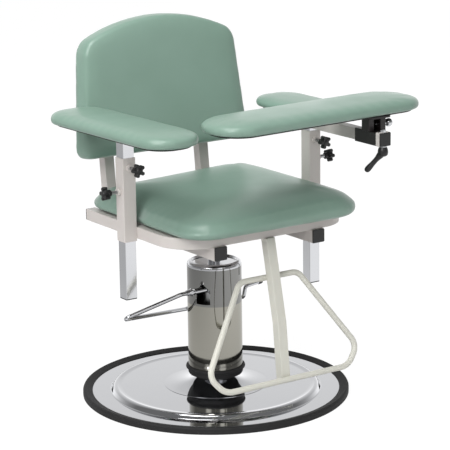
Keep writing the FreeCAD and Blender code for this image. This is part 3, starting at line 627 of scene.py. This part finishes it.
for side, body in (("right", "arm_right"), ("left", "arm_left")):
    node = "arm_tube_" + side
    shown(block(*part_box(node), corner=1.3, edge=0.0, axis=ALONG_Z), "chrome_tube_" + side, body,
          "chrome_tube", [node])

for kind, axis, corner in (("tube_cap_", ALONG_Y, 2.5), ("frame_cap_", ALONG_Y, 2.0),
                           ("arm_tube_cap_", ALONG_Z, 1.6)):
    for side in ("right", "left"):
        node = kind + side
        body = "arm_" + side if kind == "arm_tube_cap_" else "chair"
        shown(block(*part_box(node), corner, edge=0.9, axis=axis), node + "_moulded", body,
              "black_plastic", [node])

low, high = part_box("clamp_cap")
shown(block(low, high, corner=2.4, edge=1.2, axis=ALONG_Y), "clamp_cap_moulded", "flip_arm",
      "black_plastic", ["clamp_cap"])

low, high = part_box("pad_bracket")
leg_width, plate_depth = 15 * MM, 5 * MM
for side, x0, x1, y0 in (("right", low.x, low.x + leg_width, low.y),
                         ("left", high.x - leg_width, high.x, low.y),
                         ("rear", low.x + leg_width / 2, high.x - leg_width / 2, high.y - plate_depth)):
    piece = block(Vector((x0, y0, low.z)), Vector((x1, high.y, high.z)), corner=2.0, edge=0.8, axis=ALONG_Z)
    shown(piece, "pad_bracket_" + side, "flip_arm", "black_metal",
          ["pad_bracket"] if side == "right" else ())


# Clamp lever, lock plunger and the pump lever's grip

# Radius of the hair-thin core that closes a turned piece at its axis
CORE = 0.1
HUB_HEIGHT, HUB_TO_ARM = 21.95, 11.95
arm_way = Vector((-23, 24, -39))
grip_at, grip_way = (128, 11, 235), Vector((44, 13, 0))

hub_outline = ((4.1, 3), (CORE, 2.9), (CORE, 0), (5, 0.4), (8.6, 2), (10.8, 4.8), (11.6, 9), (11.3, 14),
               (10, 18.5), (8.4, HUB_HEIGHT), (4.1, HUB_HEIGHT))
arm_outline = ((CORE, 5), (8.4, 6), (7.6, 12), (6.2, 18), (5.6, 24), (5.7, 34), (6.6, 44), (7.0, 51),
               (5.8, 56), (2.8, 58.4), (CORE, 58.8))
plunger_outline = ((CORE, 0), (3.0, 0), (3.0, 20), (3.2, 25), (3.4, 28.5), (5.6, 29.6), (8.4, 32.4),
                   (9.5, 37), (8.6, 41.4), (5.4, 45), (CORE, 46.5))
grip_outline = ((CORE, -0.1), (5.2, -0.1), (6.2, 1.4), (6.2, 11.2), (5.2, 13.2), (3.0, 14), (CORE, 14))


def handle(outline, steps, soft, name, body, slot, replaces, start, way):
    """A turned piece with softened edges, from a start in millimetres along a way."""
    bm = turned(outline, steps)
    soften(bm, soft, segments=3, least=25.0)
    shown(bm, name, body, slot, replaces, sharp_above=40.0, matrix=facing(start, way))


low, high = [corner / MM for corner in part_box("clamp_bolt")]
bolt_x, bolt_y = (low.x + high.x) / 2, (low.y + high.y) / 2
hub_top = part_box("clamp_lever")[1].z / MM
shown(turned(hub_outline, 48), "clamp_lever_hub", "clamp_handle", "black_plastic", ["clamp_lever"],
      sharp_above=40.0, matrix=facing((bolt_x, bolt_y, hub_top - HUB_HEIGHT), UP))
handle(arm_outline, 32, 1.2, "clamp_lever_arm", "clamp_handle", "black_plastic", (),
       (bolt_x, bolt_y, hub_top - HUB_TO_ARM), arm_way)

low, high = [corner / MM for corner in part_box("lock_plunger")]
handle(plunger_outline, 40, 0.8, "lock_plunger_ball", "plunger", "chrome_base", ["lock_plunger"],
       (low.x, (low.y + high.y) / 2, (low.z + high.z) / 2), (1, 0, 0))

handle(grip_outline, 32, 0.8, "pump_lever_grip", "pump_lever", "black_plastic", ["pump_lever_tip"],
       grip_at, grip_way)


# White studio: the camera and mirrors see it bright, and it lights the chair softly

def seen_rays(tree):
    """The light path, and 1 for a ray from the camera, a mirror or glass."""
    ray = add(tree, "ShaderNodeLightPath")
    seen = ray.outputs["Is Camera Ray"]
    for kind in ("Is Glossy Ray", "Is Transmission Ray"):
        seen = add(tree, "ShaderNodeMath", {0: seen, 1: ray.outputs[kind]}, operation="MAXIMUM").outputs[0]
    return ray, seen


FLOOR_HALF = 8.0
FLOOR_GLOW_SHARE, FLOOR_WHITE = 0.86, 1.1


def studio_floor():
    """Pale paper under the chair, whose mirrored light falls off to the left."""
    bm = bmesh.new()
    bmesh.ops.create_grid(bm, x_segments=1, y_segments=1, size=FLOOR_HALF)
    mesh = bpy.data.meshes.new("floor")
    bm.to_mesh(mesh)
    bm.free()
    floor = bpy.data.objects.new("floor", mesh)
    scene.collection.objects.link(floor)
    paper = bpy.data.materials.new("white_studio_paper")
    paper.use_nodes = True
    tree = paper.node_tree
    tree.nodes.clear()
    ray, seen = seen_rays(tree)
    glow_share = add(tree, "ShaderNodeMath", {0: seen, 1: FLOOR_GLOW_SHARE}, operation="MULTIPLY")
    matt = add(tree, "ShaderNodeBsdfDiffuse", {"Color": (0.8, 0.8, 0.8, 1.0)})
    place = add(tree, "ShaderNodeTexCoord").outputs["Object"]
    across = add(tree, "ShaderNodeVectorMath", {0: place, 1: (0.9, -0.4, 0.0)}, operation="DOT_PRODUCT")
    fall = add(tree, "ShaderNodeMapRange", {"Value": across.outputs["Value"], "From Min": -1.2,
                                            "From Max": 1.0, "To Min": 0.5, "To Max": 1.12})
    bright = add(tree, "ShaderNodeMath", {0: ray.outputs["Is Camera Ray"], 1: FLOOR_WHITE},
                 operation="MULTIPLY")
    bright = add(tree, "ShaderNodeMath", {0: bright.outputs[0], 1: fall.outputs[0]}, operation="MAXIMUM")
    glow = add(tree, "ShaderNodeEmission", {"Color": WHITE, "Strength": bright.outputs[0]})
    both = add(tree, "ShaderNodeMixShader", {0: glow_share.outputs[0], 1: matt.outputs[0],
                                             2: glow.outputs[0]})
    add(tree, "ShaderNodeOutputMaterial", {"Surface": both.outputs[0]})
    mesh.materials.append(paper)


SOFT_LIGHT = 0.44
PANEL_WAYS = ((-0.80, -0.34, 0.50), (-0.05, -0.90, 0.44))


def studio_world():
    """Soft light all round; mirrors see it darker ahead of the camera, with two bright panels."""
    world = bpy.data.worlds.new("studio")
    scene.world = world
    world.use_nodes = True
    tree = world.node_tree
    tree.nodes.clear()
    ray, seen = seen_rays(tree)
    soft_light = add(tree, "ShaderNodeBackground", {"Color": WHITE, "Strength": SOFT_LIGHT})
    way = add(tree, "ShaderNodeTexCoord").outputs["Generated"]
    ahead = add(tree, "ShaderNodeVectorMath", {0: way, 1: (-0.55, -0.8, 0.25)}, operation="DOT_PRODUCT")
    dark = add(tree, "ShaderNodeMapRange", {"Value": ahead.outputs["Value"], "From Min": -0.75,
                                            "From Max": -0.1, "To Min": 1.0, "To Max": 0.26})
    height = add(tree, "ShaderNodeSeparateXYZ", {0: way})
    sky = add(tree, "ShaderNodeMapRange", {"Value": height.outputs["Z"], "From Min": 0.05,
                                           "From Max": 0.4, "To Min": 1.35, "To Max": 0.8})
    level = add(tree, "ShaderNodeMath", {0: dark.outputs[0], 1: sky.outputs[0]}, operation="MULTIPLY")
    for panel_way in PANEL_WAYS:
        near = add(tree, "ShaderNodeVectorMath", {0: way, 1: panel_way}, operation="DOT_PRODUCT")
        panel = add(tree, "ShaderNodeMapRange", {"Value": near.outputs["Value"], "From Min": 0.955,
                                                 "From Max": 0.985, "To Min": 0.0, "To Max": 1.3})
        level = add(tree, "ShaderNodeMath", {0: level.outputs[0], 1: panel.outputs[0]},
                    operation="MAXIMUM")
    level = add(tree, "ShaderNodeMath", {0: level.outputs[0], 1: ray.outputs["Is Camera Ray"]},
                operation="MAXIMUM")
    white = add(tree, "ShaderNodeBackground", {"Color": WHITE, "Strength": level.outputs[0]})
    both = add(tree, "ShaderNodeMixShader", {0: seen, 1: soft_light.outputs[0], 2: white.outputs[0]})
    add(tree, "ShaderNodeOutputWorld", {"Surface": both.outputs[0]})


LAMPS_AIM_AT = Vector((0, 0, 0.45))


def softbox(name, place, size, power, mirrored=True):
    """A square or oblong lamp; its place and size are metres and its power is watts."""
    lamp = bpy.data.lights.new(name, "AREA")
    lamp.shape = "RECTANGLE"
    lamp.size, lamp.size_y = size
    lamp.energy = power
    made = bpy.data.objects.new(name, lamp)
    scene.collection.objects.link(made)
    made.location = place
    made.rotation_euler = (LAMPS_AIM_AT - Vector(place)).to_track_quat("-Z", "Y").to_euler()
    made.visible_glossy = mirrored


studio_floor()
studio_world()
softbox("key_light", place=(-4.2, -2.7, 3.6), size=(2.4, 2.4), power=172.0)
softbox("top_light", place=(-0.9, -0.35, 2.75), size=(1.3, 1.3), power=38.0)
softbox("fill_light", place=(0.9, -3.0, 1.3), size=(1.4, 1.4), power=3.0, mirrored=False)
softbox("rear_light", place=(0.8, 2.9, 2.2), size=(2.4, 1.4), power=10.0, mirrored=False)


# Camera, as fitted to the photograph

CAMERA_PLACE = (-2.4646, -3.6794, 1.4817)
LENS_MM, SENSOR_MM = 161.75, 36.0
yaw, pitch, roll = math.radians(-34.15), math.radians(13.83), math.radians(-0.778)

lens = bpy.data.cameras.new("camera")
lens.sensor_width = SENSOR_MM
lens.lens = LENS_MM
lens.clip_start = 0.05
lens.clip_end = 40.0
camera = bpy.data.objects.new("camera", lens)
scene.collection.objects.link(camera)
level = Vector((math.cos(yaw), math.sin(yaw), 0))
ahead = Vector((-math.sin(yaw) * math.cos(pitch), math.cos(yaw) * math.cos(pitch), -math.sin(pitch)))
upward = level.cross(ahead)
right = level * math.cos(roll) + upward * math.sin(roll)
above = upward * math.cos(roll) - level * math.sin(roll)
camera.matrix_world = Matrix.Translation(CAMERA_PLACE) @ Matrix((right, above, -ahead)).transposed().to_4x4()
scene.camera = camera
scene.view_settings.view_transform = "Standard"
